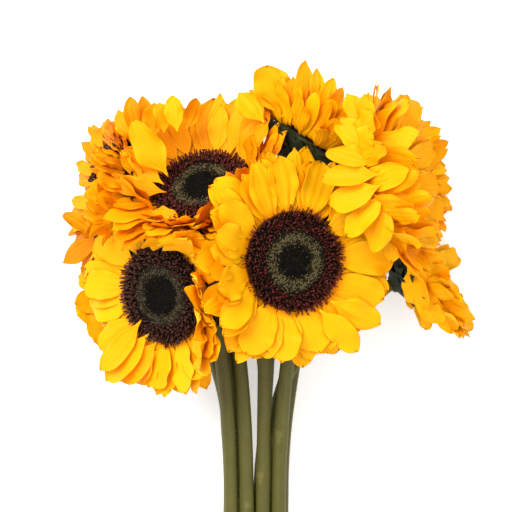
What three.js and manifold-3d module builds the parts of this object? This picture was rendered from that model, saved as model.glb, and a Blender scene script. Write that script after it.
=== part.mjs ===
// A bunch of nine cut sunflowers, laid down on a flat surface. Millimetres, +Z up.
// The stems run along -Y to their cut ends, and the blooms lie at the +Y end, most of them looking up or
// outwards. Each flower has four pieces: its stem, the green calyx with its bracts, the dark seed disc, and the
// ring of yellow rays round the disc. Rays and bracts grow by a seeded rule, and one that would touch a
// neighbour is bent further, and at last left out.

import * as THREE from "three";
import { mergeGeometries, mergeVertices } from "three/addons/utils/BufferGeometryUtils.js";
import Module from "manifold-3d";

const wasm = await Module();
wasm.setup();

const DEG = Math.PI / 180;
const CLEARANCE = 0.3;
const MERGE_DISTANCE = 1e-4;

// The head, in its own frame: +Z is the way the bloom looks, and z = 0 is the back of the seed disc.
const ROUND_SEGMENTS = 16;
const DISC_RADIUS = 30.5;
const DISC_RIM_HEIGHT = 5;
const DISC_DOME_HEIGHT = 7.6;
const DISC_DOME_SHARE = 0.7;
const DISC_DIMPLE = 1.4;
const COLLAR_WIDTH = 3.2;
const COLLAR_HEIGHT = 4.4;
const COLLAR_SLOPE = 0.6;
const CALYX_DEPTH = 19;
const CALYX_RIM_RADIUS = 33.5;
const CALYX_RIM_DEPTH = 4;
const CALYX_BOWL_SHARE = 0.6;
const CALYX_BOWL_DEPTH = 10.5;
const CALYX_FOOT_RADIUS = 6.2;

// One ray, at these shares of its length from the root.
const RAY_STATIONS = [0, 0.34, 0.84, 1];
const RAY_THICKNESS = 0.9;
const RAY_ROLL = 0.14;
const RAY_ROOT_SINK = 2.2;
const RAY_WHORLS = [
  { count: 15, height: 3.4, lean: 5, length: 0.95, width: 1.0 },
  { count: 15, height: 1.3, lean: -7, length: 1.04, width: 0.96 },
];
const RAY_LEAN_SPREAD = 6;
const RAY_CURL_SPREAD = 22;

// The outline of a blade: its width at the root and where it is widest, as shares, and how blunt its tip is.
const BLADE_ROOT_SHARE = 0.42;
const BLADE_WIDEST_AT = 0.5;
const BLADE_BLUNTNESS = 2.6;
const BLADE_STEPS = 50;

// How a ray that touches something is bent, in degrees from its own pitch, in the order tried; then each
// again with a narrower ray.
const RAY_TRIES = [0, 7, -7, 14, -14, 22, -22, 32, -32, 45, 60];
const NARROW = [1, 0.72];
// How far a blade can lean at its root, in degrees from the disc's plane. What is over goes into its bend.
const LEAST_LEAN = -15;
const MOST_LEAN = 80;
const FOLD_SHARPNESS = 1.5;

const BRACTS = 13;
const BRACT_STATIONS = [0, 0.46, 1];
const BRACT_LENGTH = 22;
const BRACT_WIDTH = 9.5;
const BRACT_THICKNESS = 1;
const BRACT_LEAN = -20;
const BRACT_TRIES = [0, -14, -28, -44, 12];
const BRACT_ROOT_SINK = 3.5;
const BRACT_ROOT_DEPTH = 1.6;
const BRACT_ROW = { inward: 3, down: 3.2, lean: -10 };

// Stems, from the cut end to the calyx. They lie on the surface at their cut ends and rise towards the blooms.
const STEM_SIDES = 8;
const STEM_SPANS = 14;
const STEM_POINTS = 85;
const STEM_GAP = 0.7;
const NECK_LENGTH = 24;
const NECK_DROOP = 6;
const THROAT_LENGTH = 7;
const NECK_ABOVE_FLOOR = 8;
const SETTLE_ROUNDS = 120;
const SETTLE_STIFFNESS = 0.35;
const FIXED_AT_NECK = 8;
const CUT_Y = -345;
const CUT_SPREAD = 1.1;
const WAIST_Y = -188;
const WAIST_RISE = 16;
const SHOULDER_Y = -76;
const UPPER_ROW = { z: 12.1, radius: 4.6 };
const LOWER_ROW = { z: 4.4, radius: 4 };

// Each flower: centre of its disc's back, the way it looks, then its rays: their cup and forward curl in
// degrees, their length and width, and its folds, which are sides where the rays stand up more (or less) than
// the cup, with the share of that which the back whorl takes. Then its stem: the row it lies in, its place
// across the bunch at the waist, its place and height at the shoulder where the stems part, and how much longer
// or shorter it is cut.
const FLOWERS = [
  { name: "front", centre: [21, -3, 106], faces: [0.33, -0.03, 0.94], seed: 1,
    cup: 3, curl: -12, ray: 35, wide: 19,
    folds: [{ side: [-1, 0, 0], by: 34 }, { side: [0.5, -1, 0], longer: -0.14 }],
    row: UPPER_ROW, waist: 4.4, shoulder: [6.3, 48], cut: 0 },
  { name: "upper_left", centre: [-32, 39, 80], faces: [-0.19, 0.68, 0.7], seed: 3,
    cup: 26, curl: -4, ray: 38, wide: 20,
    folds: [{ side: [0.2, -1, 0], by: 48, longer: -0.4 }, { side: [-1, 0, 0], by: -18 }],
    row: UPPER_ROW, waist: -5.2, shoulder: [-8.6, 47], cut: 5 },
  { name: "left", centre: [-54, -23, 90], faces: [-0.57, -0.15, 0.81], seed: 2,
    cup: 5, curl: -12, ray: 31, wide: 19,
    folds: [{ side: [1, 0, 0], by: 62 }, { side: [0, 1, 0], longer: -0.12 }],
    row: UPPER_ROW, waist: -15, shoulder: [-17.2, 48], cut: -6 },
  { name: "right", centre: [75, 42, 103], faces: [0.86, 0.24, 0.44], seed: 4,
    cup: 20, curl: 4, ray: 36, wide: 16.5,
    folds: [{ side: [-0.4, 0, 0.9], by: 72, longer: 0.2, back: 0.6 },
      { side: [0.2, 1, 0], by: 20, longer: -0.1 }, { side: [0, -1, 0], by: 34, back: 0.3 }],
    row: UPPER_ROW, waist: 13, shoulder: [15, 49], cut: 3 },
  { name: "top", centre: [34, 65, 66], faces: [0.58, 0.81, -0.05], seed: 5,
    cup: 54, curl: -10, ray: 37, wide: 14,
    folds: [{ side: [0.8, -0.5, 0], by: 16 }, { side: [-0.8, 0.6, 0], by: -14, longer: -0.25 }],
    row: LOWER_ROW, waist: 0, shoulder: [9, 38], cut: -3 },
  { name: "low_right", centre: [102, -9, 50], faces: [0.85, 0.46, 0.22], seed: 6,
    cup: 6, curl: -10, ray: 31, wide: 14,
    folds: [{ side: [0, -1, 0], by: 20, longer: -0.25 }, { side: [0, 0.4, 1], by: 70 },
      { side: [0.2, 1, 0], longer: -0.3 }],
    row: LOWER_ROW, waist: 9, shoulder: [9, 29], cut: 6 },
  { name: "far_left", centre: [-89, 39, 52], faces: [-0.93, 0.08, 0.36], seed: 7, over: [-31, -8, 51],
    cup: 8, curl: -10, ray: 29, wide: 15,
    folds: [{ side: [0.4, 0, 0.9], by: 80 }, { side: [-0.2, 1, 0], longer: -0.3 }],
    row: LOWER_ROW, waist: -9, shoulder: [-11, 42], cut: 2 },
  { name: "upper_right", centre: [85, 55, 38], faces: [0.7, 0.5, 0.5], seed: 8,
    cup: 18, curl: -6, ray: 31, wide: 15,
    folds: [{ side: [1, 0.1, 0], longer: -0.35 }, { side: [0, 1, 0], longer: -0.15 }],
    row: LOWER_ROW, waist: 17, shoulder: [16, 30], cut: -5 },
  { name: "low_left", centre: [-62, -16, 28], faces: [-0.3, 0.16, -0.94], seed: 9, neck: 11,
    cup: 0, curl: -6, ray: 32, wide: 19, folds: [],
    row: LOWER_ROW, waist: -18, shoulder: [-14, 33], cut: -2 },
];

const finish = (color, roughness) => new THREE.MeshStandardMaterial({ color, roughness, metalness: 0 });
const STEM_GREEN = finish("#74733a", 0.6);
const CALYX_GREEN = finish("#3f4d22", 0.7);
const SEED_BROWN = finish("#2e1c18", 0.9);
const RAY_YELLOW = finish("#fcc40a", 0.55);

// A number from 0 to 1 that is always the same for a seed and an index.
function chance(seed, index) {
  const value = Math.sin(seed * 12.9898 + index * 78.233) * 43758.5453;
  return value - Math.floor(value);
}

const spread = (seed, index) => 2 * chance(seed, index) - 1;
const vec = (a) => new THREE.Vector3(...a);

// A closed geometry as a solid, its seams merged and the triangles that have shrunk to a line left out.
function solidOf(geometry) {
  geometry.deleteAttribute("normal");
  geometry.deleteAttribute("uv");
  const merged = mergeVertices(geometry, MERGE_DISTANCE);
  const index = merged.index.array;
  const triangles = [];
  for (let i = 0; i < index.length; i += 3) {
    const corners = [index[i], index[i + 1], index[i + 2]];
    if (new Set(corners).size === 3) triangles.push(...corners);
  }
  const vertProperties = new Float32Array(merged.getAttribute("position").array);
  return new wasm.Manifold(new wasm.Mesh({ numProp: 3, vertProperties, triVerts: new Uint32Array(triangles) }));
}

// A profile of [radius, height] turned round +Z.
function turned(profile) {
  const lathe = new THREE.LatheGeometry(profile.map(([r, z]) => new THREE.Vector2(r, z)), ROUND_SEGMENTS);
  return solidOf(lathe.rotateX(Math.PI / 2));
}

function meshOf(solid, name, material) {
  const { numProp, numVert, vertProperties, triVerts } = solid.getMesh();
  const position = new Float32Array(numVert * 3);
  for (let i = 0; i < numVert; i++) {
    position.set(vertProperties.subarray(i * numProp, i * numProp + 3), i * 3);
  }
  const geometry = new THREE.BufferGeometry();
  geometry.setAttribute("position", new THREE.BufferAttribute(position, 3));
  geometry.setIndex(new THREE.BufferAttribute(triVerts, 1));
  const flat = geometry.toNonIndexed();
  flat.computeVertexNormals();
  const mesh = new THREE.Mesh(flat, material);
  mesh.name = name;
  return mesh;
}

// The head's frame in the bunch: +Z looks along flower.faces.
function headMatrix(flower) {
  const z = vec(flower.faces).normalize();
  const x = new THREE.Vector3(0, 1, 0).cross(z).normalize();
  const y = z.clone().cross(x);
  return new THREE.Matrix4().makeBasis(x, y, z).setPosition(vec(flower.centre));
}

// Seed disc: a low dome with a dimple in the middle.
function discSolid() {
  return turned([
    [0, CLEARANCE],
    [DISC_RADIUS, CLEARANCE],
    [DISC_RADIUS, DISC_RIM_HEIGHT],
    [DISC_RADIUS * DISC_DOME_SHARE, DISC_DOME_HEIGHT],
    [0, DISC_DOME_HEIGHT - DISC_DIMPLE],
  ]);
}

// Collar round the disc that carries the rays.
function collarSolid() {
  const inner = DISC_RADIUS + CLEARANCE;
  const outer = DISC_RADIUS + COLLAR_WIDTH;
  return turned([
    [inner, CLEARANCE],
    [outer, CLEARANCE],
    [outer, COLLAR_HEIGHT - COLLAR_SLOPE],
    [inner, COLLAR_HEIGHT],
    [inner, CLEARANCE],
  ]);
}

// Calyx: a bowl that narrows to the neck of the stem.
function calyxSolid() {
  return turned([
    [0, -CALYX_DEPTH],
    [CALYX_FOOT_RADIUS, -CALYX_DEPTH],
    [CALYX_RIM_RADIUS * CALYX_BOWL_SHARE, -CALYX_BOWL_DEPTH],
    [CALYX_RIM_RADIUS, -CALYX_RIM_DEPTH],
    [CALYX_RIM_RADIUS, 0],
    [0, 0],
  ]);
}

// Half width of a blade at share s of its length: it swells from a narrow root and closes in a blunt tip.
function bladeShape(s) {
  const swell = Math.min(1, s / BLADE_WIDEST_AT);
  const rise = BLADE_ROOT_SHARE + (1 - BLADE_ROOT_SHARE) * swell * (2 - swell);
  const close = Math.max(0, (s - BLADE_WIDEST_AT) / (1 - BLADE_WIDEST_AT));
  return rise * Math.sqrt(Math.max(0, 1 - close ** BLADE_BLUNTNESS));
}

// The middle line of a blade in the plane of its azimuth: distance from the axis, height, and slope at each
// share. The slope starts at the blade's pitch and turns by its bend towards the tip.
function bladeLine(blade, share) {
  let out = blade.radius;
  let up = blade.height;
  const step = 1 / BLADE_STEPS;
  const whole = Math.round(share * BLADE_STEPS);
  for (let k = 0; k < whole; k++) {
    const slope = blade.pitch + blade.bend * ((k + 0.5) * step) ** 2;
    out += blade.length * step * Math.cos(slope);
    up += blade.length * step * Math.sin(slope);
  }
  return { out, up, slope: blade.pitch + blade.bend * share ** 2 };
}

// A point of a blade at share s. side is -1 and 1 at its edges and 0 on its middle line, and lift raises the
// middle line off the blade's own plane.
function bladePoint(blade, s, side, lift, extra) {
  const radial = new THREE.Vector3(Math.cos(blade.azimuth), Math.sin(blade.azimuth), 0);
  const across = new THREE.Vector3(-radial.y, radial.x, 0);
  const line = bladeLine(blade, s);
  const wide = s < 1 ? (blade.width / 2) * bladeShape(s) + extra / 4 : 0;
  const channel = wide * blade.channel * s;
  const roll = wide * blade.roll * Math.min(1, 3 * s);
  const middle = s < 1 ? lift : 0;
  const raised = side === 0 ? middle : channel + side * roll;
  return radial.multiplyScalar(line.out - Math.sin(line.slope) * raised)
    .addScaledVector(across, blade.sway * blade.length * s * s + side * wide)
    .add(new THREE.Vector3(0, 0, line.up + Math.cos(line.slope) * raised));
}

// A thin blade: a sheet over and a sheet under that meet at the edges and the tip, and a face across the
// root. For the touch test it starts at share from, and extra thickens it.
function bladeSolid(blade, from = 0, extra = 0) {
  const half = (blade.thickness + extra) / 2;
  const sheetOf = (lift) => {
    const sheet = new THREE.PlaneGeometry(2, 1, 2, blade.stations.length - 1);
    const place = sheet.getAttribute("position");
    for (let i = 0; i < place.count; i++) {
      const s = Math.max(blade.stations[Math.floor(i / 3)], from);
      const point = bladePoint(blade, s, place.getX(i), lift, extra);
      place.setXYZ(i, point.x, point.y, point.z);
    }
    return sheet;
  };
  const over = sheetOf(half);
  const under = sheetOf(-half);
  under.index.array.reverse();
  const root = new THREE.PlaneGeometry();
  const corners = [[-1, 0], [0, -half], [0, half], [1, 0]];
  corners.forEach(([side, lift], i) => {
    const point = bladePoint(blade, from, side, lift, extra);
    root.getAttribute("position").setXYZ(i, point.x, point.y, point.z);
  });
  return solidOf(mergeGeometries([over, under, root]));
}

// The blade bent by turn degrees more and narrowed, within what its root can lean.
function bentBlade(blade, { turn, narrow }) {
  const asked = blade.lean + turn;
  const lean = Math.min(MOST_LEAN, Math.max(LEAST_LEAN, asked));
  return { ...blade, width: blade.width * narrow, pitch: lean * DEG, bend: (blade.curl + asked - lean) * DEG };
}

// The sum over a head's folds of one of their amounts, each as far as direction, the ray's way out of the
// head, is toward the fold's side. The back whorl, number 1, may take only a share of it.
function foldOf(flower, amount, direction, whorl) {
  return flower.folds.reduce((sum, fold) => {
    const toward = Math.max(0, vec(fold.side).normalize().dot(direction));
    const share = whorl === 1 ? (fold.back ?? 1) : 1;
    return sum + share * (fold[amount] ?? 0) * toward ** FOLD_SHARPNESS;
  }, 0);
}

// The rays of a head: two whorls, the back one seen between the rays of the front one.
function raysOf(flower, matrix) {
  return RAY_WHORLS.flatMap((whorl, w) => Array.from({ length: whorl.count }, (_, i) => {
    const key = 100 * w + i;
    const azimuth = (2 * Math.PI * (i + 0.5 * w + 0.16 * spread(flower.seed, key))) / whorl.count;
    const direction = new THREE.Vector3(Math.cos(azimuth), Math.sin(azimuth), 0).transformDirection(matrix);
    const lean = flower.cup + whorl.lean + foldOf(flower, "by", direction, w);
    const length = flower.ray * whorl.length * (1 + foldOf(flower, "longer", direction, w));
    return {
      stations: RAY_STATIONS,
      rootSkip: RAY_ROOT_SINK + 1,
      azimuth,
      radius: DISC_RADIUS + COLLAR_WIDTH - RAY_ROOT_SINK,
      height: whorl.height,
      length: length * (1 + 0.09 * spread(flower.seed, key + 53)),
      width: flower.wide * whorl.width * (1 + 0.14 * spread(flower.seed, key + 71)),
      lean: lean + RAY_LEAN_SPREAD * spread(flower.seed, key + 31),
      curl: flower.curl + RAY_CURL_SPREAD * spread(flower.seed, key + 97),
      sway: 0.1 * spread(flower.seed, key + 113),
      roll: RAY_ROLL * (1 + spread(flower.seed, key + 131)),
      channel: 0.1 + 0.12 * spread(flower.seed, key + 151),
      thickness: RAY_THICKNESS,
    };
  }));
}

// The bracts of a calyx: pointed green leaves behind the rays, in two rows that take turns.
function bractsOf(flower) {
  return Array.from({ length: BRACTS }, (_, i) => {
    const outer = i % 2;
    return {
      stations: BRACT_STATIONS,
      rootSkip: BRACT_ROOT_SINK * 2,
      azimuth: (2 * Math.PI * (i + 0.25 * spread(flower.seed, i + 211))) / BRACTS,
      radius: CALYX_RIM_RADIUS - BRACT_ROOT_SINK - BRACT_ROW.inward * outer,
      height: -BRACT_ROOT_DEPTH - BRACT_ROW.down * outer,
      length: BRACT_LENGTH * (1 + 0.15 * spread(flower.seed, i + 223)),
      width: BRACT_WIDTH,
      lean: BRACT_LEAN + BRACT_ROW.lean * outer + 6 * spread(flower.seed, i + 241),
      curl: 24 * spread(flower.seed, i + 251),
      sway: 0.1 * spread(flower.seed, i + 263),
      roll: 0.1 * spread(flower.seed, i + 271),
      channel: 0.15,
      thickness: BRACT_THICKNESS,
    };
  });
}

const smoothCurve = (points) => new THREE.CatmullRomCurve3(points, false, "catmullrom", 0.5);

// The stem's line before it settles: cut end, waist, shoulder, and the bend of the neck up to the calyx.
function stemStart(flower) {
  const { row } = flower;
  const face = vec(flower.faces).normalize();
  const end = vec(flower.centre).addScaledVector(face, -CALYX_DEPTH - CLEARANCE);
  const neck = end.clone().addScaledVector(face, -(flower.neck ?? NECK_LENGTH));
  neck.y -= NECK_DROOP;
  neck.z = Math.max(neck.z, row.radius + NECK_ABOVE_FLOOR);
  const cut = new THREE.Vector3(flower.waist * CUT_SPREAD, CUT_Y + flower.cut, row.z);
  const waist = new THREE.Vector3(flower.waist, WAIST_Y, row.z + WAIST_RISE);
  const half = cut.clone().lerp(waist, 0.5);
  const shoulder = new THREE.Vector3(flower.shoulder[0], SHOULDER_Y, flower.shoulder[1]);
  const over = flower.over ? [vec(flower.over)] : [];
  const throat = end.clone().addScaledVector(face, -THROAT_LENGTH);
  return smoothCurve([cut, half, waist, shoulder, ...over, neck, throat, end]).getPoints(STEM_POINTS - 1);
}

// Stems push each other apart until they are clear. Their cut ends keep their height, their necks keep still,
// and a little stiffness keeps each line smooth.
function settleStems() {
  const lines = FLOWERS.map(stemStart);
  for (let round = 0; round < SETTLE_ROUNDS; round++) {
    const push = lines.map((line) => line.map(() => new THREE.Vector3()));
    for (let a = 0; a < lines.length; a++) {
      for (let b = a + 1; b < lines.length; b++) {
        const apart = FLOWERS[a].row.radius + FLOWERS[b].row.radius + STEM_GAP;
        for (let i = 0; i < STEM_POINTS; i++) {
          for (let j = 0; j < STEM_POINTS; j++) {
            const way = lines[b][j].clone().sub(lines[a][i]);
            const distance = way.length();
            if (distance >= apart) continue;
            way.multiplyScalar((apart - distance) / (distance * 4));
            push[a][i].sub(way);
            push[b][j].add(way);
          }
        }
      }
    }
    lines.forEach((line, a) => {
      const before = line.map((p) => p.clone());
      for (let i = 1; i < STEM_POINTS - FIXED_AT_NECK; i++) {
        const middle = before[i - 1].clone().lerp(before[i + 1], 0.5);
        line[i].add(push[a][i]).addScaledVector(middle.sub(before[i]), SETTLE_STIFFNESS);
      }
      line[0].x += push[a][0].x;
    });
  }
  return lines;
}

// A stem: an eight-sided section drawn along its settled line.
function stemSolid(line, radius) {
  const corners = Array.from({ length: STEM_SIDES }, (_, c) => {
    const turn = (2 * Math.PI * c) / STEM_SIDES;
    return new THREE.Vector2(radius * Math.cos(turn), radius * Math.sin(turn));
  });
  return solidOf(
    new THREE.ExtrudeGeometry(new THREE.Shape(corners), { extrudePath: smoothCurve(line), steps: STEM_SPANS }),
  );
}

// What is already in place, as solids with their boxes in the bunch's frame and the flower they belong to.
const placed = [];

function keep(solid, flower) {
  placed.push({ solid, flower, box: solid.boundingBox() });
}

// Whether a solid is in the floor's way or in that of anything in place, leaving out one flower's own solids.
function touches(solid, leftOut = null) {
  const { min, max } = solid.boundingBox();
  if (min[2] < CLEARANCE) return true;
  return placed.some(({ solid: other, flower, box }) => {
    if (flower === leftOut) return false;
    for (let k = 0; k < 3; k++) if (min[k] > box.max[k] || max[k] < box.min[k]) return false;
    return solid.intersect(other).volume() > 0;
  });
}

// Fuses to base each blade that finds a free place, at the first of the tries that does. Near its root a blade
// may cross its own head, and nothing else.
function grow({ flower, matrix }, base, blades, tries) {
  const fresh = [];
  for (const blade of blades) {
    const bent = tries
      .map((attempt) => bentBlade(blade, attempt))
      .find((attempt) => {
        const outside = bladeSolid(attempt, blade.rootSkip / blade.length, 2 * CLEARANCE);
        if (touches(outside.transform(matrix.elements))) return false;
        return !touches(bladeSolid(attempt, 0, 2 * CLEARANCE).transform(matrix.elements), flower);
      });
    if (!bent) continue;
    const solid = bladeSolid(bent);
    fresh.push(solid);
    keep(solid.transform(matrix.elements), flower);
  }
  const pieces = wasm.Manifold.union([base, ...fresh]).decompose();
  return pieces.reduce((most, piece) => (piece.volume() > most.volume() ? piece : most));
}

const RAY_ATTEMPTS = NARROW.flatMap((narrow) => RAY_TRIES.map((turn) => ({ turn, narrow })));
const BRACT_ATTEMPTS = BRACT_TRIES.map((turn) => ({ turn, narrow: 1 }));

const bunch = new THREE.Group();
const stems = settleStems();
const heads = FLOWERS.map((flower, i) => {
  const matrix = headMatrix(flower);
  const stem = stemSolid(stems[i], flower.row.radius);
  const [disc, rays, calyx] = [discSolid(), collarSolid(), calyxSolid()];
  keep(stem, flower);
  [disc, rays, calyx].forEach((solid) => keep(solid.transform(matrix.elements), flower));
  return { flower, matrix, stem, disc, rays, calyx };
});

for (const head of heads) {
  head.rays = grow(head, head.rays, raysOf(head.flower, head.matrix), RAY_ATTEMPTS);
}

for (const head of heads) {
  head.calyx = grow(head, head.calyx, bractsOf(head.flower), BRACT_ATTEMPTS);
}

for (const { flower, matrix, stem, disc, calyx, rays } of heads) {
  const group = new THREE.Group();
  group.applyMatrix4(matrix);
  group.add(meshOf(disc, "disc_" + flower.name, SEED_BROWN));
  group.add(meshOf(rays, "rays_" + flower.name, RAY_YELLOW));
  group.add(meshOf(calyx, "calyx_" + flower.name, CALYX_GREEN));
  bunch.add(group, meshOf(stem, "stem_" + flower.name, STEM_GREEN));
}

// The origin is at the middle of the footprint, on the surface that the bunch lies on.
bunch.updateMatrixWorld(true);
const box = new THREE.Box3().setFromObject(bunch, true);
const middle = box.getCenter(new THREE.Vector3());
bunch.position.set(-middle.x, -middle.y, -box.min.z);

export default bunch;
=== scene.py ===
"""A bunch of nine cut sunflowers lying on a pale surface, seen from straight above.

The source's rule for stems, rays and bracts is written again here. Each fine petal grows along the line that
the solid's ray took, found by comparing the ray's tip and edges with the corners of the solid. Lengths are in
millimetres in the source's frame until a mesh is made. The discs give the offset to the row's frame.
"""

import math

import bpy
import numpy as np
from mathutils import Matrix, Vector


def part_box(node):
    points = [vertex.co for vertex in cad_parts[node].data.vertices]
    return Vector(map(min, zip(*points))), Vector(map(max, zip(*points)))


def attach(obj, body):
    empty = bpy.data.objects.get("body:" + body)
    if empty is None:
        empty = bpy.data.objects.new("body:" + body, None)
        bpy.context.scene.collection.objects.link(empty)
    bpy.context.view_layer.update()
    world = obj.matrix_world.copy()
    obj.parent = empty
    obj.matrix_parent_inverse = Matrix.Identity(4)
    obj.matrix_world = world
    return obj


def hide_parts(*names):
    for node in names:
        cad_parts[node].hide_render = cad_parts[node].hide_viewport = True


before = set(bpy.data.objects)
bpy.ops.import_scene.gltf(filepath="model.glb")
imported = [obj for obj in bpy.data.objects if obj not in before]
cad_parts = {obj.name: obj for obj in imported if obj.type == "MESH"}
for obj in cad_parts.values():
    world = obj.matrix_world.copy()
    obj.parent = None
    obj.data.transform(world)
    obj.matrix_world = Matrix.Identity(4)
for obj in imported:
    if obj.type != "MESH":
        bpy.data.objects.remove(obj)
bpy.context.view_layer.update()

MM = 0.001
TURN = 2 * math.pi
GOLDEN_ANGLE = math.radians(137.508)

# The source's sizes
DISC_RADIUS = 30.5
DISC_PROFILE = [(1, 0.3), (1, 5), (0.7, 7.6)]
DISC_SIDES = 16
COLLAR_WIDTH = 3.2
CALYX_DEPTH = 19
CALYX_RIM_RADIUS = 33.5
RAY_ROLL = 0.14
RAY_CHANNEL = 0.1
RAY_ROOT_SINK = 2.2
RAY_WHORLS = [
    dict(count=15, height=3.4, lean=5, length=0.95, width=1.0),
    dict(count=15, height=1.3, lean=-7, length=1.04, width=0.96),
]
RAY_TRIES = [0, 7, -7, 14, -14, 22, -22, 32, -32, 45, 60]
NARROW = [1, 0.72]
LEAST_LEAN = -15
MOST_LEAN = 80
BLADE_ROOT_SHARE = 0.42
BLADE_WIDEST_AT = 0.5
BLADE_BLUNTNESS = 2.6
BLADE_STEPS = 50
BRACTS = 13
BRACT_LENGTH = 22
BRACT_WIDTH = 9.5
BRACT_CHANNEL = 0.15
# What the first bract of each pair has, and what the second, outer one adds to it
BRACT_INSET = (3.5, 3)
BRACT_DROP = (1.6, 3.2)
BRACT_LEAN = (-20, -10)
BRACT_TRIES = [0, -14, -28, -44, 12]
STEM_POINTS = 85
STEM_GAP = 0.7
STEM_CUT_Y = -345
STEM_CUT_SPREAD = 1.1
STEM_WAIST_Y = -188
STEM_WAIST_OVER_ROW = 16
STEM_SHOULDER_Y = -76
NECK_LENGTH = 24
NECK_DROP = (0, -6, 0)
NECK_OVER_FLOOR = 8
STEM_INTO_CALYX = 7
CALYX_GAP = 0.3
SETTLING_ROUNDS = 120
SETTLING_PUSH = 4
SETTLING_STIFFNESS = 0.35
SETTLED_BEFORE_END = 8
UPPER_ROW = (12.1, 4.6)
LOWER_ROW = (4.4, 4.0)

# How far chance moves each thing of a ray or a bract, either way, and what its draw adds to the blade's key
RAY_CHANCE = dict(
    azimuth=(0.16, 0), length=(0.09, 53), width=(0.14, 71), lean=(6, 31),
    curl=(22, 97), sway=(0.1, 113), roll=(1, 131), channel=(0.12, 151),
)
BRACT_CHANCE = dict(
    azimuth=(0.25, 211), length=(0.15, 223), lean=(6, 241), curl=(24, 251),
    sway=(0.1, 263), roll=(0.1, 271),
)
BACK_WHORL_KEY = 100

# Where a blade's edges are compared with the solid, as a share of its length, and how closely
RAY_MATCH_AT = 0.84
BRACT_MATCH_AT = 0.46
MATCH_WITHIN = 0.05

# A fold is (side, degrees, longer, share of the back whorl). A row is the height and radius of the stem's lower
# part, and waist, shoulder, cut and over are places of its line.
FOLD_DEGREES, FOLD_LONGER, FOLD_BACK = 1, 2, 3
FLOWERS = [
    dict(name="front", centre=(21, -3, 106), faces=(0.33, -0.03, 0.94), seed=1, cup=3, curl=-12, ray=35,
         wide=19, folds=[((-1, 0, 0), 34, 0, 1), ((0.5, -1, 0), 0, -0.14, 1)],
         row=UPPER_ROW, waist=4.4, shoulder=(6.3, 48), cut=0),
    dict(name="upper_left", centre=(-32, 39, 80), faces=(-0.19, 0.68, 0.7), seed=3, cup=26, curl=-4, ray=38,
         wide=20, folds=[((0.2, -1, 0), 48, -0.4, 1), ((-1, 0, 0), -18, 0, 1)],
         row=UPPER_ROW, waist=-5.2, shoulder=(-8.6, 47), cut=5),
    dict(name="left", centre=(-54, -23, 90), faces=(-0.57, -0.15, 0.81), seed=2, cup=5, curl=-12, ray=31,
         wide=19, folds=[((1, 0, 0), 62, 0, 1), ((0, 1, 0), 0, -0.12, 1)],
         row=UPPER_ROW, waist=-15, shoulder=(-17.2, 48), cut=-6),
    dict(name="right", centre=(75, 42, 103), faces=(0.86, 0.24, 0.44), seed=4, cup=20, curl=4, ray=36,
         wide=16.5, row=UPPER_ROW, waist=13, shoulder=(15, 49), cut=3,
         folds=[((-0.4, 0, 0.9), 72, 0.2, 0.6), ((0.2, 1, 0), 20, -0.1, 1), ((0, -1, 0), 34, 0, 0.3)]),
    dict(name="top", centre=(34, 65, 66), faces=(0.58, 0.81, -0.05), seed=5, cup=54, curl=-10, ray=37,
         wide=14, folds=[((0.8, -0.5, 0), 16, 0, 1), ((-0.8, 0.6, 0), -14, -0.25, 1)],
         row=LOWER_ROW, waist=0, shoulder=(9, 38), cut=-3),
    dict(name="low_right", centre=(102, -9, 50), faces=(0.85, 0.46, 0.22), seed=6, cup=6, curl=-10, ray=31,
         wide=14, folds=[((0, -1, 0), 20, -0.25, 1), ((0, 0.4, 1), 70, 0, 1), ((0.2, 1, 0), 0, -0.3, 1)],
         row=LOWER_ROW, waist=9, shoulder=(9, 29), cut=6),
    dict(name="far_left", centre=(-89, 39, 52), faces=(-0.93, 0.08, 0.36), seed=7, cup=8, curl=-10, ray=29,
         wide=15, folds=[((0.4, 0, 0.9), 80, 0, 1), ((-0.2, 1, 0), 0, -0.3, 1)],
         row=LOWER_ROW, waist=-9, shoulder=(-11, 42), cut=2, over=(-31, -8, 51)),
    dict(name="upper_right", centre=(85, 55, 38), faces=(0.7, 0.5, 0.5), seed=8, cup=18, curl=-6, ray=31,
         wide=15, folds=[((1, 0.1, 0), 0, -0.35, 1), ((0, 1, 0), 0, -0.15, 1)],
         row=LOWER_ROW, waist=17, shoulder=(16, 30), cut=-5),
    dict(name="low_left", centre=(-62, -16, 28), faces=(-0.3, 0.16, -0.94), seed=9, cup=0, curl=-6, ray=32,
         wide=19, folds=[], row=LOWER_ROW, waist=-18, shoulder=(-14, 33), cut=-2, neck=11),
]

# The fine petals. PLEATS are (place across, what the draw adds to the key).
PETAL_ROWS = 24
PETAL_COLUMNS = 17
ROWS_TO_TIP = 1.25
COLUMNS_TO_EDGE = 0.55
PETAL_HALF_THICKNESS = 0.24
PETAL_ROOT = -0.1
SLIM_BLUNTNESS = 2.3
BROAD_BLUNTNESS = 3.1
TIP_LEFT = 0.004
TIP_POINTS = 1.25
TIP_POINT_DEPTH = 0.05
WIDTH_WAVE = 0.08
LOOSE_ROOT_WIDTH = 0.15
RUFFLES = 1.9
RUFFLE_DEPTH = 0.13
EDGE_CURL = 0.22
TIP_TWIST = 0.3
PLEATS = [(-0.5, 503), (0.05, 509), (0.45, 521)]
PLEAT_WIDTH = 0.13
PLEAT_DEPTH = 0.8
# Beside the solid's rays there are more fine petals: how far round, as a share of the step between two rays,
# how much lower, how much flatter in degrees, and length and width as shares of the ray's. The broad heads have
# broad petals with one more beside each, and on the others they are slimmer and crowd.
BROAD_HEADS = ("front", "left", "low_left", "right", "low_right")
MORE_KEY = 3000
MORE_ON_BROAD = [(0.3, -0.9, -4, 0.97, 0.78)]
MORE_ON_SLIM = [(0.27, -0.9, -5, 0.95, 0.82), (-0.24, 0.8, 7, 0.86, 0.7)]
BROAD_WIDTH = 1.06
SLIM_WIDTH = 0.86

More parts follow.
